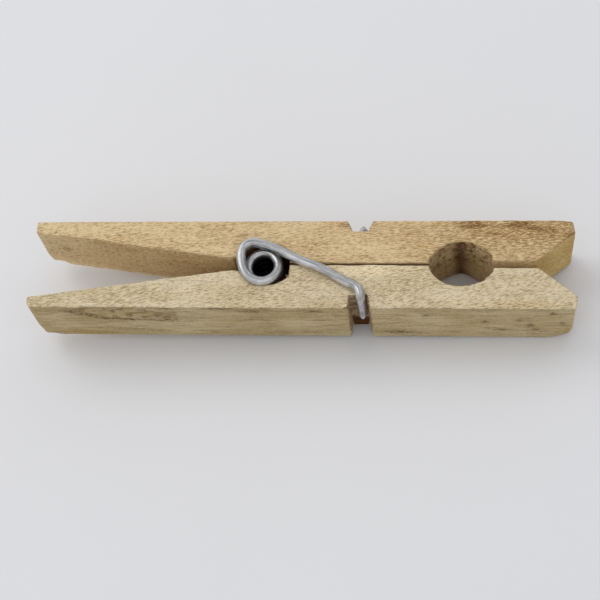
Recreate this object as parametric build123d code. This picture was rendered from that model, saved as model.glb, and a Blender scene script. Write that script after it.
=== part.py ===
from build123d import *
import math
import os

os.makedirs("parts", exist_ok=True)

# A sprung wooden clothespin lying on its side. Two wooden levers face each other across the plane y = 0,
# with their jaws at +X, and one torsion spring holds them together. The levers turn about the coil's axis.
# Millimetres, +Z up. The origin is below the middle of the pin, level with the underside of the spring.

# Spring wire
WIRE = 1.28  # diameter
WIRE_CLEARANCE = 0.05  # between the wire and the wood that it lies against
COIL_X = -4.75  # the coil's axis, which is also the hinge
COIL_RADIUS = 2.2  # to the middle of the wire
ARM_ANGLE = 25.7  # between each arm and the seam, in degrees
WHOLE_TURNS = 7
ARM_RAMP = 0.6  # each arm leaves at the coil's slope for this run, then is level
ARM_BEND_X = 7.7  # where an arm turns towards its notch
LEG_X = 8.35  # top of the leg, where the arm turns along the notch
LEG_LEAN = 0.02  # towards +X, per millimetre of leg
RAMP_BEND_RADIUS = 4.0
ARM_BEND_RADIUS = 1.3
LEG_BEND_RADIUS = 1.0
FRONT_LEG_LENGTH = 5.3  # from the arm's middle to the cut end
REAR_LEG_LENGTH = 8.2
CUT_SLOPE = 1.3  # rise over run of the two faces of a pinched wire end

# Levers
FRONT_TIP_X = -36.02  # before the tips are rounded, which leaves 72 mm overall
REAR_TIP_X = -36.0
JAW_TIP_X = 36.04
PAIR_WIDTH = 12.9  # outer face to outer face
WOOD_HEIGHT = 8.7
SEAM_GAP = 0.1  # between the levers where they bear on each other
FRONT_TIP_THICKNESS = 1.55
REAR_TIP_THICKNESS = 1.7
FRONT_TIP_SLANT = 0.25  # the tip's outer corner stands back from its inner corner by this much
REAR_TIP_SLANT = 0.0
FRONT_TIP_ROUNDING = 0.7  # of the tip's outer corner, which is more worn on the front lever
REAR_TIP_ROUNDING = 0.2
INNER_TIP_ROUNDING = 0.15
JAW_ROUNDING = 0.4
HANDLE_CREST_X = -9.1  # where the tapered handle ends, beside the groove
HANDLE_CREST_Y = 0.9
GROOVE_LEFT_X = -7.8
GROOVE_RIGHT_X = -1.15
GROOVE_WALL = 1.75  # the straight part of its right wall, from the seam
GROOVE_DEEPEST_X = -4.5
GROOVE_DEPTH = 3.0  # into each lever
HOLE_X = 21.3
HOLE_LENGTH = 8.26  # along the seam
HOLE_DEPTH = 3.14  # into each lever
JAW_GAP = 1.0  # between the jaw faces, past the hole
THROAT_X = 31.1  # where the jaw faces open into the mouth
MOUTH_END_Y = 4.5
JAW_SLANT = 0.35  # the jaw's outer corner stands back from its inner corner
NOTCH_LEFT_X = 6.9  # at the notch's floor
NOTCH_RIGHT_X = 9.1
NOTCH_RIGHT_FLARE = 0.5  # the right wall leans out by this much
FRONT_NOTCH_FLARE = 0.1  # and the left wall by this much, which is not the same on both levers
REAR_NOTCH_FLARE = 0.5
FRONT_NOTCH_DEPTH = 1.9
REAR_NOTCH_DEPTH = 1.5

WIRE_RADIUS = WIRE / 2
OUTER_Y = PAIR_WIDTH / 2
SEAM_Y = SEAM_GAP / 2
WOOD_BOTTOM = WIRE + WIRE_CLEARANCE
TOTAL_HEIGHT = WOOD_HEIGHT + 2 * WOOD_BOTTOM


def same_edge(shape, edge):
    """The shape's edge that lies where the given edge is."""
    return shape.edges().sort_by_distance(edge.center())[0]


def lever(tip_x, tip_thickness, tip_slant, tip_rounding, notch_depth, notch_flare):
    """A lever behind the seam, its seam face at -y. The front lever is made like this and then mirrored."""
    notch_y = OUTER_Y - notch_depth

    # The line hole is an ellipse that the seam halves. Its ends meet the jaw face and the seam face.
    jaw_y = JAW_GAP / 2
    right_angle = math.degrees(math.asin(jaw_y / HOLE_DEPTH))
    left_angle = 180 - math.degrees(math.asin(SEAM_Y / HOLE_DEPTH))
    sweep_angle = left_angle - right_angle
    hole = EllipticalCenterArc((HOLE_X, 0), HOLE_LENGTH / 2, HOLE_DEPTH, right_angle, arc_size=sweep_angle)

    # The groove is wider than the coil at its right, where its wall is straight before it curves.
    groove_left = (GROOVE_LEFT_X, HANDLE_CREST_Y)
    groove_corner = (GROOVE_RIGHT_X, GROOVE_WALL)
    groove_right = (GROOVE_RIGHT_X, SEAM_Y)

    outer = Polyline(
        groove_left,
        (HANDLE_CREST_X, HANDLE_CREST_Y),
        (tip_x, OUTER_Y - tip_thickness),
        (tip_x + tip_slant, OUTER_Y),
        (NOTCH_LEFT_X - notch_flare, OUTER_Y),
        (NOTCH_LEFT_X, notch_y),
        (NOTCH_RIGHT_X, notch_y),
        (NOTCH_RIGHT_X + NOTCH_RIGHT_FLARE, OUTER_Y),
        (JAW_TIP_X - JAW_SLANT, OUTER_Y),
        (JAW_TIP_X, MOUTH_END_Y),
        (THROAT_X, jaw_y),
        hole @ 0,
    )
    seam = Polyline(hole @ 1, groove_right, groove_corner)
    groove = ThreePointArc(groove_corner, (GROOVE_DEEPEST_X, GROOVE_DEPTH), groove_left)

    outline = make_face(outer.edges() + hole.edges() + seam.edges() + groove.edges())
    blank = extrude(Pos(0, 0, WOOD_BOTTOM) * outline, WOOD_HEIGHT)
    corners = blank.edges().filter_by(Axis.Z)
    tip_inner, tip_outer = corners.sort_by(Axis.X)[:2].sort_by(Axis.Y)
    rounded = fillet(corners.sort_by(Axis.X)[-2:], JAW_ROUNDING)
    rounded = fillet(same_edge(rounded, tip_outer), tip_rounding)
    return fillet(same_edge(rounded, tip_inner), INNER_TIP_ROUNDING)


# The coil runs from the lower arm to the upper one, and each arm is a tangent to it. Seen from above, the
# wire climbs clockwise, from the start angle in front of the seam, round the handle side, to the same angle
# behind the seam.
COIL_START = ARM_ANGLE - 90
COIL_TURNS = WHOLE_TURNS + (360 + 2 * COIL_START) / 360
COIL_LAP = 2 * math.pi * COIL_RADIUS
ARM_Z = TOTAL_HEIGHT - WIRE_RADIUS
PITCH = (ARM_Z - WIRE_RADIUS) / (COIL_TURNS + 2 * ARM_RAMP / COIL_LAP)
RAMP_RISE = ARM_RAMP * PITCH / COIL_LAP


def coil():
    start_z = WIRE_RADIUS + RAMP_RISE
    helix = Helix(PITCH, PITCH * COIL_TURNS, COIL_RADIUS, lefthand=True)
    section = Plane(origin=helix @ 0, z_dir=helix % 0) * Circle(WIRE_RADIUS)
    wound = sweep(section, path=helix, is_frenet=True)
    return Pos(COIL_X, 0, start_z) * Rot(0, 0, COIL_START) * wound


def upper_arm(notch_depth, leg_length):
    """An arm that leaves the top of the coil behind the seam and ends in the front lever's notch."""
    slope = math.radians(ARM_ANGLE)
    leave = Vector(COIL_X + COIL_RADIUS * math.sin(slope), COIL_RADIUS * math.cos(slope), ARM_Z - RAMP_RISE)
    along = Vector(math.cos(slope), -math.sin(slope), 0)
    level = leave + along * ARM_RAMP + Vector(0, 0, RAMP_RISE)
    bend = level + along * ((ARM_BEND_X - level.X) / along.X)
    leg_y = -(OUTER_Y - notch_depth + WIRE_CLEARANCE + WIRE_RADIUS)
    leg_top = Vector(LEG_X, leg_y, ARM_Z)
    leg_end = Vector(LEG_X + LEG_LEAN * leg_length, leg_y, ARM_Z - leg_length)

    bend_radii = [RAMP_BEND_RADIUS, ARM_BEND_RADIUS, LEG_BEND_RADIUS]
    path = FilletPolyline(leave, level, bend, leg_top, leg_end, radius=bend_radii)
    section = Plane(origin=path @ 0, z_dir=path % 0) * Circle(WIRE_RADIUS)
    arm = sweep(section, path=path)
    return arm - pinched_end(leg_end)


def pinched_end(point):
    """What the cutter takes off below a leg's end, leaving two faces that meet in a ridge along Y."""
    rise = WIRE * CUT_SLOPE
    profile = Polyline((-WIRE, rise), (0, 0), (WIRE, rise), (WIRE, -rise), (-WIRE, -rise), close=True)
    face = Plane(origin=point, x_dir=(1, 0, 0), z_dir=(0, -1, 0)) * make_face(profile.edges())
    return extrude(face, WIRE, both=True)


def turned_over(shape):
    """Half a turn about the pin's long axis, which carries the upper arm to the lower one."""
    middle = Pos(0, 0, TOTAL_HEIGHT / 2)
    return middle * Rot(180, 0, 0) * middle.inverse() * shape


front_lever = lever(
    FRONT_TIP_X,
    FRONT_TIP_THICKNESS,
    FRONT_TIP_SLANT,
    FRONT_TIP_ROUNDING,
    FRONT_NOTCH_DEPTH,
    FRONT_NOTCH_FLARE,
)
rear_lever = lever(
    REAR_TIP_X,
    REAR_TIP_THICKNESS,
    REAR_TIP_SLANT,
    REAR_TIP_ROUNDING,
    REAR_NOTCH_DEPTH,
    REAR_NOTCH_FLARE,
)

nodes = {
    "front_lever": mirror(front_lever, about=Plane.XZ),
    "rear_lever": rear_lever,
    "spring_coil": coil(),
    "spring_front_arm": upper_arm(FRONT_NOTCH_DEPTH, FRONT_LEG_LENGTH),
    "spring_rear_arm": turned_over(upper_arm(REAR_NOTCH_DEPTH, REAR_LEG_LENGTH)),
}

for name, shape in nodes.items():
    export_step(shape, f"parts/{name}.step")
    print(name, round(shape.volume, 2), shape.bounding_box())
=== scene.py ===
import math

import bpy
import numpy as np
from mathutils import Matrix, Vector
from mathutils.geometry import delaunay_2d_cdt


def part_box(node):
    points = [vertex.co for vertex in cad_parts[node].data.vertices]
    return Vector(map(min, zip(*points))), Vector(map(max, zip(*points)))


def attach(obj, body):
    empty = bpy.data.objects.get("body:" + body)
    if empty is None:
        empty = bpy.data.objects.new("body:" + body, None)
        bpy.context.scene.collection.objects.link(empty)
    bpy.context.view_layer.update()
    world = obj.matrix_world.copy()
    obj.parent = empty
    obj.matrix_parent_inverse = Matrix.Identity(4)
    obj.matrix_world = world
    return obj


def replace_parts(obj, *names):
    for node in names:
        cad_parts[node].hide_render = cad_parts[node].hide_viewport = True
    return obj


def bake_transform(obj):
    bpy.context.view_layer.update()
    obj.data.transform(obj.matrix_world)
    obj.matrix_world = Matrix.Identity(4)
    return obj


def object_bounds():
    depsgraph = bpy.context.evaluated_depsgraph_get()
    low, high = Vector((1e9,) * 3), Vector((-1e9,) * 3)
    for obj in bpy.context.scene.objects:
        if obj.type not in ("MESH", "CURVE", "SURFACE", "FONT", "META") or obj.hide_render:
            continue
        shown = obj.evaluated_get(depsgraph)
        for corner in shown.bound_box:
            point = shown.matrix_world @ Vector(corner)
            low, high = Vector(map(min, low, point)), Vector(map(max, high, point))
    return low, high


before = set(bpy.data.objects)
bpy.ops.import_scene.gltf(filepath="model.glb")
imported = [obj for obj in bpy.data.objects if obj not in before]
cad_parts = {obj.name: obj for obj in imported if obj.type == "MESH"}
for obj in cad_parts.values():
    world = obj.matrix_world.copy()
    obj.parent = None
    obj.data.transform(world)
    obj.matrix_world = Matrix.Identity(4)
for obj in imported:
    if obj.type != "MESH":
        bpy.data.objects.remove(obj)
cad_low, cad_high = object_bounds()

# A sprung wooden clothespin lying on its side: two rough-sawn birch levers and one galvanised wire spring.
# Meshes are worked out in millimetres, in the CAD frame, and written in metres.

MM = 0.001
SEED = 11


def box_mm(node):
    low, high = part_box(node)
    return np.array(low) / MM, np.array(high) / MM


WOOD_LOW, WOOD_HIGH = box_mm("front_lever")
OUTER_Y = -WOOD_LOW[1]
WOOD_BOTTOM, WOOD_TOP = WOOD_LOW[2], WOOD_HIGH[2]
COIL_LOW, COIL_HIGH = box_mm("spring_coil")
HINGE = (COIL_LOW + COIL_HIGH)[:2] / 2  # the coil's axis
HOLE_X = 21.3


# ---------------------------------------------------------------- noise

def lattice(cells, seed):
    """A repeatable random number from -1 to 1 for each whole-number cell."""
    c = (cells & 0xFFFFFFFF).astype(np.uint32)
    n = c[:, 0] * np.uint32(73856093) ^ c[:, 1] * np.uint32(19349663) ^ c[:, 2] * np.uint32(83492791)
    n ^= np.uint32((seed * 40503 + SEED * 9176) & 0xFFFFFFFF)
    for shift, factor in ((16, 2146121005), (15, 2221713035)):
        n = (n ^ (n >> np.uint32(shift))) * np.uint32(factor)
    n ^= n >> np.uint32(16)
    return n.astype(np.float64) / 2147483647.5 - 1


def noise(points, size, seed):
    """Smooth noise from -1 to 1, with about one bump to each size, in millimetres along X, Y and Z."""
    p = points / np.array(size, float) + seed * 3.17
    cell = np.floor(p).astype(np.int64)
    part = p - cell
    part = part**3 * (part * (part * 6 - 15) + 10)
    total = np.zeros(len(p))
    for corner in np.ndindex(2, 2, 2):
        share = np.prod(np.where(corner, part, 1 - part), axis=1)
        total += share * lattice(cell + np.array(corner), seed)
    return total


def fractal(points, size, seed, octaves=3):
    size = np.array(size, float)
    total = sum(noise(points, size / 2**k, seed + k) / 2**k for k in range(octaves))
    return total / (2 - 2 ** (1 - octaves))


def smooth(low, high, value):
    t = np.clip((value - low) / (high - low), 0, 1)
    return t * t * (3 - 2 * t)


def spot(points, centre, size):
    """1 at the centre, fading to 0 over size millimetres along X, Y and Z."""
    return np.exp(-(((points - np.array(centre)) / np.array(size)) ** 2).sum(axis=1))


# ---------------------------------------------------------------- lever meshes

STEP = 0.165  # between neighbouring points of a lever's outline and walls
ROW_STEP = STEP * 0.93  # between the rows of points inside the outline
COLUMN_STEP = STEP * 1.07  # between the points of one row
LEAST_GAP = STEP * 0.6  # between the outline and the points inside it
CORNER_TURN = math.radians(25)
EDGE_RADIUS = 0.17


def upper_outline(node):
    """The outline of a lever's upper face, in millimetres, anticlockwise seen from above."""
    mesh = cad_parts[node].data
    place = [tuple(round(c / MM, 4) for c in v.co[:2]) for v in mesh.vertices]
    follows = {}
    for face in mesh.polygons:
        if face.normal.z < 0.99:
            continue
        ring = [place[v] for v in face.vertices]
        for a, b in zip(ring, ring[1:] + ring[:1]):
            if follows.get(b) and a in follows[b]:
                follows[b].remove(a)
            else:
                follows.setdefault(a, set()).add(b)
    start = next(a for a, onward in follows.items() if onward)
    loop, here = [start], next(iter(follows[start]))
    while here != start:
        loop.append(here)
        here = next(iter(follows[here]))
    return np.array(loop)


def even_loop(loop):
    """The same loop with points about STEP apart and its corners slightly eased."""
    ahead = np.roll(loop, -1, axis=0) - loop
    heading = np.arctan2(ahead[:, 1], ahead[:, 0])
    turn = (heading - np.roll(heading, 1) + math.pi) % (2 * math.pi) - math.pi
    corners = np.flatnonzero(np.abs(turn) > CORNER_TURN)
    points = []
    for first, last in zip(corners, np.roll(corners, -1)):
        count = (last - first) % len(loop)
        run = loop[(first + np.arange(count + 1)) % len(loop)]
        along = np.concatenate([[0], np.cumsum(np.linalg.norm(np.diff(run, axis=0), axis=1))])
        pieces = max(1, round(along[-1] / STEP))
        marks = np.linspace(0, along[-1], pieces, endpoint=False)
        points += [np.column_stack([np.interp(marks, along, run[:, k]) for k in (0, 1)])]
    even = np.concatenate(points)
    return (np.roll(even, 1, axis=0) + 2 * even + np.roll(even, -1, axis=0)) / 4


def inside(points, loop):
    result = np.zeros(len(points), bool)
    for (x0, y0), (x1, y1) in zip(loop, np.roll(loop, -1, axis=0)):
        if y0 == y1:
            continue
        crosses = (points[:, 1] > y0) != (points[:, 1] > y1)
        at = x0 + (points[:, 1] - y0) / (y1 - y0) * (x1 - x0)
        result ^= crosses & (points[:, 0] < at)
    return result


def nearest_on(points, loop):
    """The distance to the loop's nearest point, and which point that is."""
    distance, index = [], []
    for chunk in np.array_split(points, max(1, len(points) // 1000)):
        gap = np.linalg.norm(chunk[:, None, :] - loop[None, :, :], axis=2)
        index.append(gap.argmin(axis=1))
        distance.append(gap.min(axis=1))
    return np.concatenate(distance), np.concatenate(index)


def filled_outline(loop):
    """The loop and points inside it, in staggered rows, and the triangles between them all."""
    low, high = loop.min(axis=0), loop.max(axis=0)
    rows = []
    for k, y in enumerate(np.arange(low[1], high[1], ROW_STEP)):
        x = np.arange(low[0] + STEP / 2 * (k % 2), high[0], COLUMN_STEP)
        rows.append(np.column_stack([x, np.full(len(x), y)]))
    grid = np.concatenate(rows)
    grid = grid[inside(grid, loop)]
    gap, _ = nearest_on(grid, loop)
    grid = grid[gap > LEAST_GAP]
    ring = [(k, (k + 1) % len(loop)) for k in range(len(loop))]
    made = delaunay_2d_cdt([Vector(p) for p in np.concatenate([loop, grid])], ring, [], 1, 1e-6)
    return np.array([tuple(v) for v in made[0]]), np.array(made[2])


# An eased edge is a quarter circle: its middle lies on the outline, and points slide along it.

def eased_face(flat, gap, outward, z, up):
    """The points of the upper or lower face and their normals. gap is each point's distance from the
    outline, and outward the outline's direction there."""
    points = np.column_stack([flat, np.full(len(flat), z)])
    radius = edge_radius(points)
    angle = math.pi / 4 * (1 + np.clip(gap / radius, 0, 1))
    inward = np.where(gap < radius, radius * (1 - np.cos(angle)) - gap, 0)
    drop = np.where(gap < radius, radius * (1 - np.sin(angle)), 0)
    points[:, :2] -= outward * inward[:, None]
    points[:, 2] -= up * drop
    return points, np.column_stack([outward * np.cos(angle)[:, None], up * np.sin(angle)])


def eased_ring(loop, outward, z):
    """The points of the wall at one height, and their normals."""
    points = np.column_stack([loop, np.full(len(loop), z)])
    radius = edge_radius(points)
    gap_up, gap_down = WOOD_TOP - z, z - WOOD_BOTTOM
    up = 1 if gap_up < gap_down else -1
    near = min(gap_up, gap_down)
    angle = math.pi / 4 * (1 - np.clip(near / radius, 0, 1))
    inward = np.where(near < radius, radius * (1 - np.cos(angle)), 0)
    drop = np.where(near < radius, radius * (1 - np.sin(angle)) - near, 0)
    points[:, :2] -= outward * inward[:, None]
    points[:, 2] -= up * drop
    return points, np.column_stack([outward * np.cos(angle)[:, None], up * np.sin(angle)])


def lever_shell(node):
    """The lever as a closed surface with eased edges: points, their outward normals, and faces.
    Upper and lower faces are triangles, and the walls round the outline are quads."""
    loop = even_loop(upper_outline(node))
    count = len(loop)
    tangent = np.roll(loop, -1, axis=0) - np.roll(loop, 1, axis=0)
    tangent /= np.linalg.norm(tangent, axis=1)[:, None]
    outward = np.column_stack([tangent[:, 1], -tangent[:, 0]])

    flat, flat_faces = filled_outline(loop)
    gap, nearest = nearest_on(flat, loop)
    gap[:count] = 0
    levels = np.linspace(WOOD_TOP, WOOD_BOTTOM, round((WOOD_TOP - WOOD_BOTTOM) / STEP) + 1)[1:-1]
    parts = [eased_face(flat, gap, outward[nearest], z, up) for z, up in ((WOOD_TOP, 1), (WOOD_BOTTOM, -1))]
    parts += [eased_ring(loop, outward, z) for z in levels]
    points, normals = zip(*parts)

    # Faces: the upper one, the lower one turned over, and quads between neighbouring levels.
    total = len(flat)
    triangles = [tuple(f) for f in flat_faces] + [tuple(f[::-1] + total) for f in flat_faces]
    starts = [0] + [2 * total + k * count for k in range(len(levels))] + [total]
    quads = []
    for upper, lower in zip(starts, starts[1:]):
        for k in range(count):
            onward = (k + 1) % count
            quads.append((upper + k, lower + k, lower + onward, upper + onward))
    return np.concatenate(points), np.concatenate(normals), triangles + quads


def edge_radius(points):
    """How far each edge is worn round, in millimetres. The seam's edges are worn most."""
    at_seam = smooth(0.9, 0.4, np.abs(points[:, 1]))
    return EDGE_RADIUS * (1 + 0.6 * noise(points, (2.3, 2.3, 2.3), 5)) * (1 + 0.9 * at_seam)


# Where the kinds of wall lie, in millimetres. Every Y is a distance from the seam.
GROOVE_REACH = 4.1  # from the coil's axis
HANDLE_END_X = HINGE[0] - 3.6
HOLE_REACH_X, HOLE_REACH_Y = 4.3, 3.3
NOTCH_LEFT_X, NOTCH_RIGHT_X, NOTCH_INNER_Y = 6.2, 10, 4.4
MOUTH_X = 31


def wall_kinds(points, normals):
    """How far each point belongs to each kind of surface, from 0 to 1."""
    x, y = points[:, 0], np.abs(points[:, 1])
    sawn = smooth(0.55, 0.9, np.abs(normals[:, 2]))
    wall = 1 - sawn
    facing_out = normals[:, 1] * np.sign(points[:, 1])
    outer = wall * smooth(0.8, 0.95, facing_out) * (y > OUTER_Y - 0.5)
    groove = wall * (np.hypot(x - HINGE[0], y) < GROOVE_REACH)
    handle = wall * (x < HANDLE_END_X) * smooth(0.5, 0.9, -facing_out)
    hole = wall * (np.abs(x - HOLE_X) < HOLE_REACH_X) * (y < HOLE_REACH_Y) * (y > 0.06)
    notch = wall * (x > NOTCH_LEFT_X) * (x < NOTCH_RIGHT_X) * (y > NOTCH_INNER_Y) * (1 - outer)
    bevel = wall * (x > MOUTH_X) * (facing_out < 0)
    return {
        "sawn": sawn, "outer": outer, "groove": groove, "handle": handle, "hole": hole, "notch": notch,
        "bevel": bevel,
    }


def sawn_relief(points, seed, slant):
    """The upper and lower faces: short torn fibres along the grain, some of them lifted out as pits."""
    c, s = math.cos(math.radians(slant)), math.sin(math.radians(slant))
    drift = 0.5 * noise(points, (6, 3, 9), seed) + 0.08 * noise(points, (1.6, 0.8, 9), seed + 1)
    x, y, z = points.T
    q = np.column_stack([c * x + s * y, c * y - s * x + drift, z])
    fibre = noise(q, (1.5, 0.30, 3), seed + 2)
    fine = noise(q, (0.8, 0.22, 3), seed + 3)
    broad = noise(q, (3.0, 0.9, 3), seed + 4)
    pits = smooth(0.3, 0.75, noise(q, (0.9, 0.26, 3), seed + 5))
    patchy = 0.7 + 0.3 * noise(points, (7, 2.4, 9), seed + 6)
    return patchy * (0.06 * fibre + 0.055 * fine - 0.07 * pits) + 0.02 * broad


def saw_marks(points, centre, size, slope):
    """Ridges left by the saw across the upper face, round one place."""
    spacing, height = 0.62, 0.045
    across = points[:, 1] - slope * points[:, 0]
    wobble = 0.3 * noise(points, (2, 1, 5), 71)
    return height * np.sin((across + wobble) * 2 * math.pi / spacing) * spot(points, centre, size)


def planed_relief(points, seed):
    """The outer faces: fine grooves along the grain."""
    grooves = 0.016 * noise(points, (9, 2, 0.5), seed) + 0.016 * noise(points, (1.6, 2, 0.34), seed + 1)
    return grooves - 0.05 * smooth(0.45, 0.75, noise(points, (1.3, 2, 0.4), seed + 2))


def torn_relief(points, seed):
    """Where the saw has torn the fibres out."""
    return -0.07 + 0.17 * fractal(points, (0.8, 0.5, 0.42), seed)


def split_relief(points, seed):
    """The handles' inner faces and the cut walls: coarse fibres along the grain."""
    return 0.05 * noise(points, (2.2, 0.5, 0.45), seed) + 0.05 * noise(points, (0.7, 0.4, 0.32), seed + 1)


def bored_relief(points, seed):
    """The line hole's wall: upright streaks, and crumbled fibres that are coarsest near its top."""
    streaks = 0.05 * noise(points, (0.45, 0.45, 5), seed) + 0.03 * noise(points, (0.25, 0.25, 2), seed + 1)
    crumbs = noise(points, (0.38, 0.38, 0.42), seed + 2) * smooth(4, 7.5, points[:, 2])
    return streaks + 0.11 * crumbs * smooth(HOLE_X - 1, HOLE_X + 1.5, points[:, 0]) + 0.03 * crumbs


def front_marks(points, kinds):
    """The front lever's own marks: masks of torn fibres, stains and smoother wood, then relief in
    millimetres, then a mask of painted shadow low on the notch's back wall, below the lump of fibres."""
    x, y, z = points.T
    wander = 0.6 * noise(points, (1.9, 9, 9), 31)
    line_z = np.interp(x, [-33, -30.5, -27, -23.4, -14], [9.5, 8.4, 7.3, 6.5, 5.6]) + wander
    above = smooth(-0.3, 0.25, z - line_z) * smooth(-32.5, -29, x) * (1 - smooth(-19, -10, x))
    line = np.exp(-(((z - line_z) / 0.4) ** 2)) * smooth(-32.5, -30.5, x) * (1 - smooth(-22, -13, x))
    broken = smooth(-0.1, 0.5, noise(points, (1.0, 1, 0.5), 32))
    torn = kinds["outer"] * np.clip(line + 0.7 * above * broken, 0, 1)
    patches = smooth(-0.15, 0.5, noise(points, (2.6, 9, 9), 33))
    top_edge = smooth(WOOD_TOP - 1.3, WOOD_TOP - 0.3, z) * patches
    torn = np.maximum(torn, 0.8 * kinds["outer"] * top_edge * (1 - 0.7 * smooth(4, 12, x)))
    spots = [
        ((-6.3, 9.1), (1.8, 0.4)), ((2.1, 9.0), (1.4, 0.35)), ((30.2, 5.0), (0.5, 0.6)),
        ((30.9, 4.0), (0.5, 0.4)), ((32.9, 8.6), (0.5, 0.5)), ((26.7, 3.7), (0.7, 0.35)),
        ((24.4, 6.1), (0.5, 0.35)), ((13.2, 2.8), (2.6, 0.6)), ((16.8, 7.9), (0.5, 0.4)),
        ((28.6, 6.6), (0.5, 0.3)), ((34.3, 5.8), (0.4, 0.5)),
    ]
    for (cx, cz), (sx, sz) in spots:
        torn = np.maximum(torn, kinds["outer"] * spot(points, (cx, -OUTER_Y, cz), (sx, 1, sz)))
    curls = smooth(-0.25, 0.35, noise(points, (0.5, 0.5, 0.3), 35))
    torn = np.maximum(torn, (0.3 + 0.7 * curls) * kinds["notch"])
    stain = kinds["outer"] * spot(points, (-29, -OUTER_Y, 2.2), (3.4, 1, 0.7))
    stain = np.maximum(stain, 0.8 * kinds["outer"] * spot(points, (35.2, -OUTER_Y, 3), (0.9, 1, 1.6)))
    stain = np.maximum(stain, 0.8 * kinds["sawn"] * spot(points, (29, -5.8, WOOD_TOP), (5.5, 0.6, 3)))
    calm = kinds["sawn"] * spot(points, (8.5, -0.9, WOOD_TOP), (5.5, 0.9, 1))
    extra = kinds["sawn"] * saw_marks(points, (29.5, -3.3, WOOD_TOP), (4.0, 1.9, 1), 0.55)
    notch_floor = kinds["notch"] * smooth(4.8, 4.6, np.abs(y))
    foot = notch_floor * smooth(3.9, 1.9, z)
    lump = notch_floor * spot(points, (8.45, -4.55, 4.75), (0.75, 1, 0.5))
    extra = extra + 0.25 * foot + lump * (0.55 + 0.35 * noise(points, (0.3, 0.3, 0.3), 34))
    return torn, stain, calm, extra, np.clip(notch_floor * smooth(4.4, 3.2, z) - lump, 0, 1)


def rear_marks(points, kinds):
    """The rear lever's own marks, in the same order. It has dark torn streaks towards the jaw, a split beside
    the notch, and a crumbled hole."""
    x, y, z = points.T
    top = smooth(WOOD_TOP - 1.5, WOOD_TOP - 0.3, z)
    rough = smooth(-0.1, 0.5, noise(points, (3.2, 0.5, 9), 41))
    streak_y = np.interp(x, [14, 18.5, 27.6, 32, 34, 36], [5.4, 5.6, 5.9, 5.6, 5.1, 4.0])
    streak = np.exp(-(((y - streak_y) / 0.55) ** 2)) * smooth(13, 20, x)
    along_back = 0.5 * rough * smooth(12, 22, x) * smooth(2.8, 5, y)
    torn = kinds["sawn"] * top * np.clip(streak * rough + along_back, 0, 1)
    torn = np.maximum(torn, kinds["sawn"] * top * spot(points, (6.0, 5.75, WOOD_TOP), (0.9, 0.35, 1)))
    torn = np.maximum(torn, kinds["sawn"] * top * spot(points, (35.2, 4.2, WOOD_TOP), (0.6, 0.8, 1)))
    # Torn fibres on the handles' inner faces, under the top edge and towards the coil; the band under the
    # ragged top edge is partly painted shadow.
    ragged = smooth(-0.1, 0.5, noise(points, (1.5, 0.8, 0.6), 43))
    under_top = smooth(WOOD_TOP - 3.4, WOOD_TOP - 1.0, z)
    towards_coil = np.clip(under_top + smooth(-30, -17, x), 0, 1)
    torn = np.maximum(torn, 0.12 * kinds["handle"] * ragged * towards_coil)
    torn = np.maximum(torn, kinds["handle"] * spot(points, (-32.7, 4.7, 6.1), (0.75, 9, 0.5)))
    torn = np.maximum(torn, 0.8 * kinds["notch"])
    crumbs = smooth(0, 0.45, noise(points, (0.4, 0.4, 0.5), 44)) * smooth(3.5, 6.5, z)
    torn = np.maximum(torn, kinds["hole"] * crumbs)
    stain = kinds["sawn"] * smooth(11, 26, x) * smooth(-2, 4.5, y)
    near_bottom = 1 - smooth(WOOD_BOTTOM + 0.5, WOOD_BOTTOM + 1.5, z)
    calm = 0.8 * kinds["bevel"] + 0.7 * kinds["handle"] * near_bottom
    grain = np.interp(x, [27, 28.8, 30.1, 31.4], [1.7, 1.9, 2.5, 3.2])
    ridge = np.exp(-(((y - grain) / 0.14) ** 2)) * smooth(26.5, 27.5, x) * (1 - smooth(31, 32, x))
    return torn, stain, calm, 0.06 * kinds["sawn"] * top * ridge, np.zeros(len(x))


def wear_round(points, corner, into, radius, reach):
    """Wears one corner of the wood round. corner is where the sharp corner is, into gives the direction of
    the wood from it along X, Y and Z, and reach is how far the wear runs along each of its three edges."""
    corner, into = np.array(corner, float), np.array(into, float)
    depth = (points - corner) * into
    past = np.clip(radius - depth, 0, None)
    length = np.linalg.norm(past, axis=1)
    pull = np.where(length > radius, 1 - radius / np.maximum(length, 1e-9), 0)
    fade = np.prod([1 - smooth(r * 0.3, r, depth[:, k]) for k, r in enumerate(reach)], axis=0)
    return points + past * (pull * fade)[:, None] * into


def lean_hole(points, hole):
    """The hole's rear wall leans in towards the bottom, except along a crease up its middle."""
    x, y, z = points.T
    lean = smooth(7, WOOD_BOTTOM, z) * (1 - 0.5 * np.exp(-(((x - HOLE_X + 0.2) / 1.1) ** 2)))
    points = points.copy()
    points[:, 1] -= (y > 1.2) * hole * lean * (0.45 + 0.12 * np.clip(x - HOLE_X, 0, 4))
    return points


def attribute(mesh, name, values):
    mesh.attributes.new(name, "FLOAT", "POINT").data.foreach_set("value", values.astype(np.float32))


def make_mesh(name, points, faces):
    mesh = bpy.data.meshes.new(name)
    mesh.from_pydata((points * MM).tolist(), [], faces)
    mesh.polygons.foreach_set("use_smooth", [True] * len(mesh.polygons))
    mesh.update()
    piece = bpy.data.objects.new(name, mesh)
    bpy.context.scene.collection.objects.link(piece)
    return piece


def painted_recess_shade(points, kinds):
    """A mask of painted shade on both levers: in the hole's crease and low in the hole, in the groove, and on
    the seam's walls.
    """
    x, y, z = points.T
    crease = kinds["hole"] * np.exp(-((x - HOLE_X + 0.1) ** 2))
    in_hole = 0.8 * crease + 0.1 * kinds["hole"] * smooth(4.5, 2, z)
    in_groove = 0.85 * kinds["groove"] * smooth(-8.1, -7.7, x)
    in_seam = 0.8 * (1 - kinds["sawn"]) * smooth(0.3, 0.1, np.abs(y))
    return in_hole + in_groove + in_seam


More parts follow.
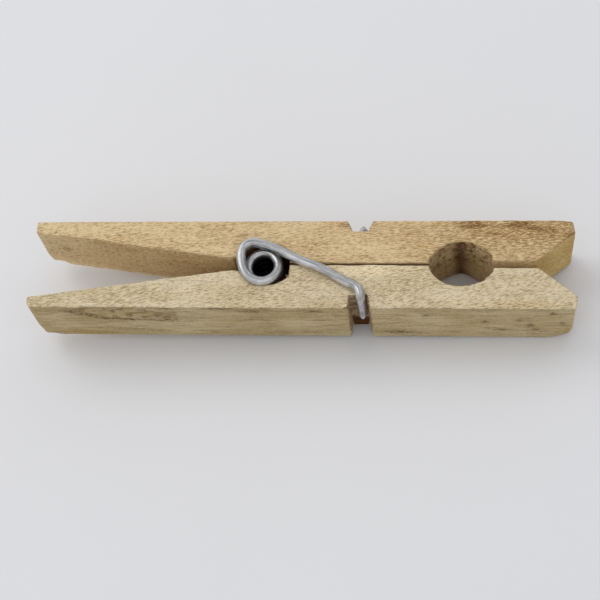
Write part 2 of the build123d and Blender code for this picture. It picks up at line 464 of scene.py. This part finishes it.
def surface_relief(points, kinds, torn, calm, seed, slant):
    """How far the wood stands out from the plain surface, in millimetres, by kind of surface."""
    cut = kinds["groove"] + kinds["hole"] + kinds["notch"]
    relief = kinds["sawn"] * (1 - 0.75 * calm) * sawn_relief(points, seed, slant)
    relief += (kinds["outer"] + kinds["bevel"]) * planed_relief(points, seed + 20)
    relief += np.clip(kinds["handle"] + cut, 0, 1) * (1 - 0.5 * calm) * split_relief(points, seed + 30)
    return relief + torn * torn_relief(points, seed + 40) + kinds["hole"] * bored_relief(points, seed + 60)


EDGE_FACING = 0.707  # how far an eased edge's middle faces up or down


def chipped_edges(points, normals, seed):
    """Small chips along the eased edges, in millimetres."""
    edge = 1 - np.clip(np.abs(np.abs(normals[:, 2]) - EDGE_FACING) / 0.2, 0, 1)
    return -0.09 * edge * smooth(-0.2, 0.6, noise(points, (0.9, 0.6, 0.6), seed))


TOP_ALLOWANCE = 0.04  # how far fibres may stand above the wood's top


def lever(name, node, marks, seed, slant, worn):
    """One lever's mesh, with the attributes that its material reads. marks is the function of its own marks,
    slant is the grain's angle to X in degrees, and worn lists the corners to wear round."""
    points, normals, faces = lever_shell(node)
    kinds = wall_kinds(points, normals)
    torn, stain, calm, extra, recess_shade = marks(points, kinds)
    # Painted shade: the lever's own mask and the recesses that both levers share.
    recess_shade = np.clip(recess_shade + painted_recess_shade(points, kinds), 0, 1)
    cut = np.clip(kinds["groove"] + kinds["hole"] + kinds["notch"], 0, 1)
    relief = surface_relief(points, kinds, torn, calm, seed, slant) + extra
    bow = 0.05 * noise(points, (11, 40, 40), seed + 50) + 0.03 * noise(points, (3.5, 40, 5), seed + 51)
    off_seam = smooth(0.3, 0.6, np.abs(points[:, 1]))
    moved = relief * off_seam + chipped_edges(points, normals, seed + 52)
    points = points + normals * moved[:, None]
    points[:, 1] += bow * off_seam * (1 - kinds["sawn"]) * 0.5
    points[:, 2] += bow * kinds["sawn"] * 0.4
    points = lean_hole(points, kinds["hole"])
    for corner in worn:
        points = wear_round(points, *corner)
    least = np.array([WOOD_LOW[0], -OUTER_Y, WOOD_BOTTOM])
    most = np.array([WOOD_HIGH[0], OUTER_Y, WOOD_TOP + TOP_ALLOWANCE])
    points = np.clip(points, least, most)
    piece = make_mesh(name, points, faces)
    attribute(piece.data, "relief", moved - extra)
    attribute(piece.data, "torn", torn)
    attribute(piece.data, "stain", stain)
    attribute(piece.data, "calm", calm)
    attribute(piece.data, "cut", cut * (1 - 0.85 * kinds["hole"] - 0.7 * kinds["notch"]))
    attribute(piece.data, "recess_shade", recess_shade)
    attribute(piece.data, "shade", np.clip(kinds["outer"] + kinds["bevel"], 0, 1))
    return piece


# ---------------------------------------------------------------- spring wire

WIRE_RADIUS = 0.64
COIL_X = -4.7  # the middle of the tight turns, which the first and last turns swell out of
COIL_RADIUS = 2.0
PITCH = 1.306
TIGHT_TURN = 1035  # degrees of tight coil, from its middle
TOP_Z = cad_high[2] / MM
MIDDLE_Z = TOP_Z / 2
ARM_Z = TOP_Z - WIRE_RADIUS
FRONT_LEG_X, REAR_LEG_X = 8.41, 8.29
FRONT_LEG_Y, REAR_LEG_Y = 5.24, 5.64
FRONT_LEG_END, REAR_LEG_END = 5.45, 8.84
ARM_START = (-3.1, 1.95)  # where the coil ends and an arm begins
WIRE_SIDES = 28
WIRE_STEP = 0.16
DENT = 0.008  # how deep the wire's dents are
SHARP_ANGLE = math.radians(24)  # faces of the wire that meet at more than this are shaded flat
CUT_SLOPE = 1.3


def tight_coil(turn):
    angle = np.radians(turn)
    x = COIL_X + COIL_RADIUS * np.cos(angle)
    return np.column_stack([x, -COIL_RADIUS * np.sin(angle), MIDDLE_Z + PITCH * turn / 360])


def curve_through(route):
    """A smooth curve through the route's points, from its second point to its last but one."""
    points = []
    for a, b, c, d in zip(route, route[1:], route[2:], route[3:]):
        count = max(2, round(np.linalg.norm(c - b) / WIRE_STEP))
        for t in np.arange(count) / count:
            bend = (2 * a - 5 * b + 4 * c - d) * t**2 + (3 * b - a - 3 * c + d) * t**3
            points.append(b + (c - a) * t / 2 + bend / 2)
    return np.array(points + [route[-2]])


def half_wire(leg_x, leg_y, leg_end):
    """The wire's centre line from the coil's middle to the cut end: tight turns, a loose last turn that
    swells and rises clear of the wood, the arm, and the leg down the notch."""
    turns = tight_coil(np.arange(0, TIGHT_TURN + 1, 5.0))
    last_turn = [
        (-2.6, 0.0, 9.6), (-2.86, -1.38, 9.8), (-3.76, -2.36, 10.05), (-5.0, -2.68, 10.3),
        (-6.3, -2.17, 10.5), (-7.19, -0.87, 10.66), (-7.5, 0.7, ARM_Z), (-7.35, 1.9, ARM_Z),
        (-6.75, 2.62, ARM_Z), (-5.85, 2.8, ARM_Z), (-4.4, 2.43, ARM_Z),
    ]
    arm = [
        (*ARM_START, ARM_Z), (-1.72, 1.27, ARM_Z), (-0.35, 0.54, ARM_Z), (1.0, -0.1, ARM_Z),
        (2.4, -0.66, ARM_Z), (3.8, -1.34, ARM_Z), (5.1, -2.12, ARM_Z), (6.3, -2.86, ARM_Z),
        (7.3, -3.3, ARM_Z), (7.93, -3.8, ARM_Z),
    ]
    leg = [
        (leg_x - 0.14, 0.78 - leg_y, ARM_Z), (leg_x - 0.04, 0.26 - leg_y, ARM_Z - 0.1),
        (leg_x, 0.02 - leg_y, ARM_Z - 0.45), (leg_x, -leg_y, ARM_Z - 1.1),
        (leg_x + 0.03, -leg_y, (ARM_Z + leg_end) / 2), (leg_x + 0.06, -leg_y, leg_end),
        (leg_x + 0.08, -leg_y, leg_end - 1),
    ]
    before = tight_coil(np.array([TIGHT_TURN - 35.0]))[0]
    route = [before, turns[-1]] + [np.array(p) for p in last_turn + arm + leg]
    return np.concatenate([turns[:-1], curve_through(route)])


def turned_over(points):
    """Half a turn about the pin's long axis."""
    return np.column_stack([points[:, 0], -points[:, 1], 2 * MIDDLE_Z - points[:, 2]])


def tube(line):
    """Rings of points round the line, evenly spaced along it, and where each point is on the wire: the
    distance along it, and the place in its cross-section."""
    steps = np.linalg.norm(np.diff(line, axis=0), axis=1)
    along = np.concatenate([[0], np.cumsum(steps)])
    marks = np.linspace(0, along[-1], round(along[-1] / WIRE_STEP) + 1)
    line = np.column_stack([np.interp(marks, along, line[:, k]) for k in range(3)])
    tangent = np.gradient(line, axis=0)
    tangent /= np.linalg.norm(tangent, axis=1)[:, None]
    side = np.array([1.0, 0, 0])
    turns = np.linspace(0, 2 * math.pi, WIRE_SIDES, endpoint=False)
    spokes, where = [], []
    for forward, mark in zip(tangent, marks):
        side = side - forward * np.dot(side, forward)
        side /= np.linalg.norm(side)
        other = np.cross(forward, side)
        spokes.append(np.outer(np.cos(turns), side) + np.outer(np.sin(turns), other))
        section = WIRE_RADIUS * np.column_stack([np.cos(turns), np.sin(turns)])
        where.append(np.column_stack([np.full(WIRE_SIDES, mark), section]))
    spokes, where = np.array(spokes), np.array(where)
    dents = noise(where.reshape(-1, 3), (1.6, 0.6, 0.6), 61).reshape(len(line), WIRE_SIDES, 1)
    return line, line[:, None, :] + (WIRE_RADIUS - DENT + DENT * dents) * spokes, where


def pinch(line, rings, down):
    """Shapes the last rings into two cut faces that meet in a ridge along Y."""
    reach = 2 * CUT_SLOPE * WIRE_RADIUS
    tip = line[-1]
    for ring in rings[-round(reach / WIRE_STEP) - 1:]:
        left = (ring[:, 2] - tip[2]) * -down
        cut = CUT_SLOPE * np.abs(ring[:, 0] - tip[0])
        ring[:, 2] -= down * (cut - np.clip(left, 0, None) * cut / reach)


def wire(name, line, rings, where):
    count = len(rings)
    points = np.concatenate([rings.reshape(-1, 3), line[:1], line[-1:]])
    where = np.concatenate([where.reshape(-1, 3), [[where[0, 0, 0], 0, 0]], [[where[-1, 0, 0], 0, 0]]])
    start, end = count * WIRE_SIDES, count * WIRE_SIDES + 1
    faces = []
    for j in range(WIRE_SIDES):
        n = (j + 1) % WIRE_SIDES
        for k in range(0, (count - 1) * WIRE_SIDES, WIRE_SIDES):
            faces.append((k + j, k + n, k + WIRE_SIDES + n, k + WIRE_SIDES + j))
        faces.append((start, n, j))
        faces.append((end, start - WIRE_SIDES + j, start - WIRE_SIDES + n))
    piece = make_mesh(name, points, faces)
    piece.data.set_sharp_from_angle(angle=SHARP_ANGLE)
    # Painted shade on the coil's inner side, darkest midway between its ends.
    from_axis = np.hypot(points[:, 0] - COIL_X, points[:, 1])
    from_end = TOP_Z - 2 * WIRE_RADIUS - np.abs(points[:, 2] - MIDDLE_Z) - MIDDLE_Z
    in_bore = smooth(COIL_RADIUS + 0.5, COIL_RADIUS, from_axis)
    attribute(piece.data, "inner_coil_shade", in_bore * smooth(0.3, 1.4, from_end))
    # How far each point faces up, which places the painted dark reflection along the wire's top.
    middle = np.concatenate([np.repeat(line, WIRE_SIDES, axis=0), line[:1], line[-1:]])
    attribute(piece.data, "crown", (points - middle)[:, 2] / WIRE_RADIUS)
    along_wire = piece.data.attributes.new("along_wire", "FLOAT_VECTOR", "POINT")
    along_wire.data.foreach_set("vector", where.astype(np.float32).ravel())
    return piece


def make_spring():
    """The coil, the front arm and the rear arm, cut from one wire so that their surfaces meet."""
    front_half = half_wire(FRONT_LEG_X, FRONT_LEG_Y, FRONT_LEG_END)
    rear_half = turned_over(half_wire(REAR_LEG_X, REAR_LEG_Y, 2 * MIDDLE_Z - REAR_LEG_END))
    line, rings, where = tube(np.concatenate([rear_half[:0:-1], front_half]))
    pinch(line, rings, -1)
    pinch(line[::-1], rings[::-1], 1)
    x, y = ARM_START
    rear_cut = np.linalg.norm(line - (x, -y, 2 * MIDDLE_Z - ARM_Z), axis=1).argmin()
    front_cut = np.linalg.norm(line - (x, y, ARM_Z), axis=1).argmin()
    parts = {
        "spring_rear_wire": slice(0, rear_cut + 1),
        "spring_coil_wire": slice(rear_cut, front_cut + 1),
        "spring_front_wire": slice(front_cut, len(line)),
    }
    return [wire(name, line[part], rings[part], where[part]) for name, part in parts.items()]


# ---------------------------------------------------------------- materials

class Shader:
    """A material's node tree, with short ways to add what this scene uses."""

    def __init__(self, name):
        self.material = bpy.data.materials.new(name)
        self.material.use_nodes = True
        self.tree = self.material.node_tree
        self.tree.nodes.clear()
        self.surface = self.node("ShaderNodeBsdfPrincipled")
        output = self.node("ShaderNodeOutputMaterial")
        self.tree.links.new(self.surface.outputs[0], output.inputs["Surface"])

    def node(self, kind, **settings):
        made = self.tree.nodes.new(kind)
        for key, value in settings.items():
            setattr(made, key, value)
        return made

    def put(self, value, socket):
        if isinstance(value, bpy.types.NodeSocket):
            self.tree.links.new(value, socket)
        else:
            socket.default_value = value

    def place(self, scale, slant=0.0):
        """Object coordinates in millimetres, turned by slant degrees about Z, then times scale along X, Y
        and Z."""
        made = self.node("ShaderNodeMapping", vector_type="TEXTURE")
        self.put(self.node("ShaderNodeTexCoord").outputs["Object"], made.inputs["Vector"])
        self.put((0, 0, math.radians(slant)), made.inputs["Rotation"])
        self.put([MM / s for s in scale], made.inputs["Scale"])
        return made.outputs[0]

    def value(self, name):
        return self.node("ShaderNodeAttribute", attribute_name=name).outputs["Fac"]

    def vector(self, name, scale):
        times = self.node("ShaderNodeVectorMath", operation="MULTIPLY")
        self.put(self.node("ShaderNodeAttribute", attribute_name=name).outputs["Vector"], times.inputs[0])
        self.put(scale, times.inputs[1])
        return times.outputs[0]

    def noise(self, where, detail=3.0, roughness=0.55, distortion=0.0):
        made = self.node("ShaderNodeTexNoise")
        self.put(where, made.inputs["Vector"])
        self.put(1.0, made.inputs["Scale"])
        self.put(detail, made.inputs["Detail"])
        self.put(roughness, made.inputs["Roughness"])
        self.put(distortion, made.inputs["Distortion"])
        return made.outputs["Fac"]

    def between(self, value, low, high, to_low=0.0, to_high=1.0):
        made = self.node("ShaderNodeMapRange", interpolation_type="SMOOTHSTEP")
        for socket, number in zip(made.inputs, (value, low, high, to_low, to_high)):
            self.put(number, socket)
        return made.outputs["Result"]

    def maths(self, operation, a, b):
        made = self.node("ShaderNodeMath", operation=operation)
        self.put(a, made.inputs[0])
        self.put(b, made.inputs[1])
        return made.outputs[0]

    def times(self, a, b):
        return self.maths("MULTIPLY", a, b)

    def plus(self, a, b):
        return self.maths("ADD", a, b)

    def mix(self, share, a, b, how="MIX"):
        made = self.node("ShaderNodeMix", data_type="RGBA", blend_type=how)
        self.put(share, made.inputs["Factor"])
        self.put(a, made.inputs[6])
        self.put(b, made.inputs[7])
        return made.outputs[2]

    def bump(self, height, distance, strength=1.0):
        made = self.node("ShaderNodeBump")
        self.put(strength, made.inputs["Strength"])
        self.put(distance * MM, made.inputs["Distance"])
        self.put(height, made.inputs["Height"])
        self.put(made.outputs[0], self.surface.inputs["Normal"])


def colour(red, green, blue):
    """A display colour from 0 to 255 as the linear colour that a shader takes."""
    def linear(c):
        c = c / 255
        return c / 12.92 if c <= 0.04045 else ((c + 0.055) / 1.055) ** 2.4
    return (linear(red), linear(green), linear(blue), 1.0)


CUT_BROWN = colour(156, 110, 52)  # walls of the groove, the hole and the notch
RECESS_SHADE_BROWN = colour(90, 55, 24)  # painted shade in the recesses
ZINC_DULL, ZINC_BRIGHT = colour(174, 175, 173), colour(216, 215, 218)
ZINC_DRAWN, ZINC_SPECK = colour(110, 109, 105), colour(232, 231, 235)
ZINC_TOP_REFLECTION = colour(104, 106, 110)  # painted dark reflection along the wire's top
# painted shade inside the coil's bore
BORE_SHADE_COLOUR = colour(13, 13, 12)
FLOOR_DULL, FLOOR_BRIGHT = colour(226, 226, 228), colour(231, 231, 233)


def wood(name, pale, mid, brown, stain_colour, face_tint, slant):
    """Wood that reads a lever's attributes. face_tint multiplies the planed faces' colour, and slant is the
    grain's angle to X on the sawn faces, in degrees."""
    s = Shader(name)

    # Broad mottling and long grain.
    mottle = s.noise(s.place((0.10, 0.30, 0.30)), detail=3)
    base = s.mix(s.between(mottle, 0.35, 0.65), mid, pale)
    grain = s.noise(s.place((0.12, 2.2, 2.2)), detail=4, distortion=0.3)
    base = s.mix(s.between(grain, 0.5, 0.72, 0, 0.35), base, mid)
    base = s.mix(s.between(grain, 0.42, 0.28, 0, 0.3), base, brown)
    base = s.mix(s.times(s.value("stain"), 0.72), base, stain_colour)

    # Streaks on the planed faces, and short fibres that are strongest on the sawn ones.
    streaks = s.noise(s.place((0.3, 3.2, 5.0)), detail=4, roughness=0.6)
    base = s.mix(s.times(s.value("shade"), s.between(streaks, 0.5, 0.38, 0, 0.45)), base, brown)
    fibres = s.noise(s.place((1.4, 7.5, 7.5), slant), detail=3, roughness=0.7)
    rough = s.between(s.value("shade"), 0, 1, 1, 0.45)
    base = s.mix(s.times(rough, s.between(fibres, 0.50, 0.58, 0, 0.85)), base, pale)
    base = s.mix(s.times(rough, s.between(fibres, 0.49, 0.38, 0, 0.55)), base, brown)

    # Painted shade in the mesh's pits and painted highlight on its ridges, then torn and cut wood.
    relief = s.value("relief")
    base = s.mix(s.between(relief, -0.03, -0.13, 0, 0.4), base, brown)
    base = s.mix(s.between(relief, 0.02, 0.08, 0, 0.4), base, pale)
    torn = s.times(s.value("torn"), s.between(s.noise(s.place((2.6, 6, 6))), 0.42, 0.56, 0.2, 1))
    base = s.mix(s.times(torn, 0.9), base, brown)
    base = s.mix(s.times(s.value("cut"), 0.85), base, CUT_BROWN)
    # Painted shade in the recesses.
    base = s.mix(s.value("recess_shade"), base, RECESS_SHADE_BROWN)
    base = s.mix(s.value("shade"), base, s.mix(1.0, base, face_tint, "MULTIPLY"))

    s.put(base, s.surface.inputs["Base Color"])
    s.put(0.82, s.surface.inputs["Roughness"])
    s.put(0.25, s.surface.inputs["Specular IOR Level"])
    fine = s.noise(s.place((1.6, 7, 7), slant), detail=3, roughness=0.65)
    height = s.plus(s.times(fibres, 1.4), fine)
    height = s.times(height, s.between(s.value("calm"), 0, 1, 1, 0.3))
    height = s.times(height, s.between(s.value("shade"), 0, 1, 1, 0.5))
    s.bump(height, 0.15)
    return s.material


def galvanised():
    s = Shader("galvanised_wire")
    drawn = s.noise(s.vector("along_wire", (0.22, 4.5, 4.5)), detail=4, roughness=0.6)
    patch = s.noise(s.vector("along_wire", (0.6, 1.2, 1.2)), detail=3)
    base = s.mix(s.between(patch, 0.35, 0.65), ZINC_DULL, ZINC_BRIGHT)
    base = s.mix(s.between(drawn, 0.52, 0.66, 0, 0.6), base, ZINC_DRAWN)
    specks = s.noise(s.vector("along_wire", (2.5, 5, 5)), detail=2)
    base = s.mix(s.between(specks, 0.62, 0.72, 0, 0.6), base, ZINC_SPECK)
    # A painted dark reflection along the wire's top, broken into patches.
    worn = s.between(patch, 0.42, 0.58, 0.35, 1)
    crown = s.times(s.between(s.value("crown"), 0.93, 0.985), worn)
    base = s.mix(s.times(crown, 0.6), base, ZINC_TOP_REFLECTION)
    # Painted shade inside the coil's bore.
    base = s.mix(s.value("inner_coil_shade"), base, BORE_SHADE_COLOUR)
    s.put(base, s.surface.inputs["Base Color"])
    s.put(0.92, s.surface.inputs["Metallic"])
    s.put(s.between(drawn, 0.3, 0.7, 0.22, 0.42), s.surface.inputs["Roughness"])
    nicks = s.noise(s.vector("along_wire", (0.8, 8, 8)), detail=4)
    s.bump(nicks, 0.035)
    return s.material


def paper():
    s = Shader("pale_floor")
    cloud = s.noise(s.place((0.02, 0.02, 0.02)), detail=4)
    s.put(s.mix(cloud, FLOOR_DULL, FLOOR_BRIGHT), s.surface.inputs["Base Color"])
    s.put(0.8, s.surface.inputs["Roughness"])
    s.put(0.2, s.surface.inputs["Specular IOR Level"])
    s.bump(s.noise(s.place((0.6, 0.6, 0.6)), detail=4), 0.02)
    return s.material


# ---------------------------------------------------------------- the object

JAW_X, HANDLE_X = WOOD_HIGH[0], WOOD_LOW[0]
FRONT_SLANT, REAR_SLANT = 14, 6  # the grain's angle to X, in degrees

# The corners that are worn round: where, which way the wood lies from there, radius and reach.
front_worn = [
    ((JAW_X, -OUTER_Y, WOOD_BOTTOM), (-1, 1, 1), 1.5, (3, 3, 4)),
    ((JAW_X, -OUTER_Y, WOOD_TOP), (-1, 1, -1), 0.5, (2, 2, 2)),
    ((HANDLE_X + 0.35, -OUTER_Y, WOOD_BOTTOM), (1, 1, 1), 0.8, (3, 2, 3)),
]
rear_worn = [
    ((JAW_X, OUTER_Y, WOOD_TOP), (-1, -1, -1), 0.6, (2, 2, 3)),
    ((HANDLE_X, OUTER_Y - 1.7, WOOD_BOTTOM), (1, 1, 1), 0.7, (3, 2, 2.5)),
]
front = lever("front_lever_wood", "front_lever", front_marks, 100, FRONT_SLANT, front_worn)
rear = lever("rear_lever_wood", "rear_lever", rear_marks, 200, REAR_SLANT, rear_worn)
front.data.materials.append(wood(
    "front_birch",
    pale=colour(245, 228, 192),
    mid=colour(220, 198, 155),
    brown=colour(126, 95, 54),
    stain_colour=colour(206, 172, 106),
    face_tint=(0.715, 0.685, 0.58, 1),
    slant=FRONT_SLANT,
))
rear.data.materials.append(wood(
    "rear_birch",
    pale=colour(246, 220, 173),
    mid=colour(223, 190, 138),
    brown=colour(126, 87, 40),
    stain_colour=colour(170, 130, 66),
    face_tint=(0.78, 0.74, 0.52, 1),
    slant=REAR_SLANT,
))

rear_arm, coil, front_arm = make_spring()
wire_material = galvanised()
for piece in (coil, front_arm, rear_arm):
    piece.data.materials.append(wire_material)

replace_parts(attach(front, "front_half"), "front_lever")
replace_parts(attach(rear, "rear_half"), "rear_lever")
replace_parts(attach(front_arm, "front_half"), "spring_front_arm")
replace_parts(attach(rear_arm, "rear_half"), "spring_rear_arm")
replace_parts(coil, "spring_coil")
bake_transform(coil)


# ---------------------------------------------------------------- floor, light and camera

# The pin rests on the lower arm, the coil and the front jaw's corner, so the floor is tilted to lie just
# below all three.
FLOOR_ALONG, FLOOR_ACROSS = 0.0299, -0.0419  # its rise per millimetre of X and of Y
FLOOR_DROP = 0.08
FLOOR_SIDE = 1.2  # metres
FLOOR_CELLS = 24


def make_floor():
    marks = (np.arange(FLOOR_CELLS + 1) / FLOOR_CELLS - 0.5) * FLOOR_SIDE / MM
    points = [(x, y, FLOOR_ALONG * x + FLOOR_ACROSS * y - FLOOR_DROP) for y in marks for x in marks]
    wide = FLOOR_CELLS + 1
    faces = []
    for row in range(FLOOR_CELLS):
        for first in range(row * wide, row * wide + FLOOR_CELLS):
            faces.append((first, first + 1, first + wide + 1, first + wide))
    floor = make_mesh("pale_floor", np.array(points), faces)
    floor.data.materials.append(paper())


WINDOW_PLACE = (-0.36, 0.2, 0.44)
WINDOW_SIZE = 0.4
WINDOW_ENERGY = 0.75
WINDOW_COLOUR = (1.0, 0.985, 0.96)
SKY_TOWARD = (-0.2, 0.2, 0.95)  # where the sky is brightest
SKY_RAMP = (-0.25, 1.0, 0.50, 0.88)  # from and to these cosines of the angle to there, these two strengths
SKY_COLOUR = (0.97, 0.98, 1.0, 1)


def make_window():
    """A soft lamp at the upper left."""
    lamp = bpy.data.lights.new("window", "AREA")
    lamp.shape = "DISK"
    lamp.size = WINDOW_SIZE
    lamp.energy = WINDOW_ENERGY
    lamp.color = WINDOW_COLOUR
    window = bpy.data.objects.new("window", lamp)
    window.location = Vector(WINDOW_PLACE)
    window.rotation_euler = (-window.location).to_track_quat("-Z", "Y").to_euler()
    bpy.context.scene.collection.objects.link(window)


def make_sky():
    """A pale sky that is brightest overhead."""
    world = bpy.data.worlds.new("studio")
    bpy.context.scene.world = world
    world.use_nodes = True
    tree = world.node_tree
    sky = tree.nodes["Background"]
    where = tree.nodes.new("ShaderNodeTexCoord").outputs["Generated"]
    toward = tree.nodes.new("ShaderNodeVectorMath")
    toward.operation = "DOT_PRODUCT"
    toward.inputs[1].default_value = Vector(SKY_TOWARD).normalized()
    ramp = tree.nodes.new("ShaderNodeMapRange")
    ramp.interpolation_type = "SMOOTHSTEP"
    for socket, number in zip(list(ramp.inputs)[1:5], SKY_RAMP):
        socket.default_value = number
    tree.links.new(where, toward.inputs[0])
    tree.links.new(toward.outputs["Value"], ramp.inputs["Value"])
    tree.links.new(ramp.outputs["Result"], sky.inputs["Strength"])
    sky.inputs["Color"].default_value = SKY_COLOUR


CAMERA_ELEVATION, CAMERA_AZIMUTH, CAMERA_ROLL = 63.47, 14.76, -13.08  # degrees
CAMERA_DISTANCE = 182.17  # millimetres, from the target
CAMERA_TARGET = (0.07, -3.45, 6.26)
SENSOR_WIDTH = 36
LENS = 82.5


def make_camera():
    elevation, azimuth, roll = (math.radians(a) for a in (CAMERA_ELEVATION, CAMERA_AZIMUTH, CAMERA_ROLL))
    distance = CAMERA_DISTANCE * MM
    target = Vector(CAMERA_TARGET) * MM
    flat = math.cos(elevation)
    back = Vector((math.sin(azimuth) * flat, -math.cos(azimuth) * flat, math.sin(elevation)))
    level = Vector((0, 0, 1)).cross(back).normalized()
    rise = back.cross(level)
    right = level * math.cos(roll) + rise * math.sin(roll)
    up = rise * math.cos(roll) - level * math.sin(roll)
    data = bpy.data.cameras.new("camera")
    data.sensor_width = SENSOR_WIDTH
    data.lens = LENS
    data.clip_start = 0.005
    camera = bpy.data.objects.new("camera", data)
    turned = Matrix((right, up, back)).transposed().to_4x4()
    camera.matrix_world = Matrix.Translation(target + back * distance) @ turned
    bpy.context.scene.collection.objects.link(camera)
    bpy.context.scene.camera = camera


make_floor()
make_window()
make_sky()
make_camera()
bpy.context.scene.view_settings.view_transform = "Standard"
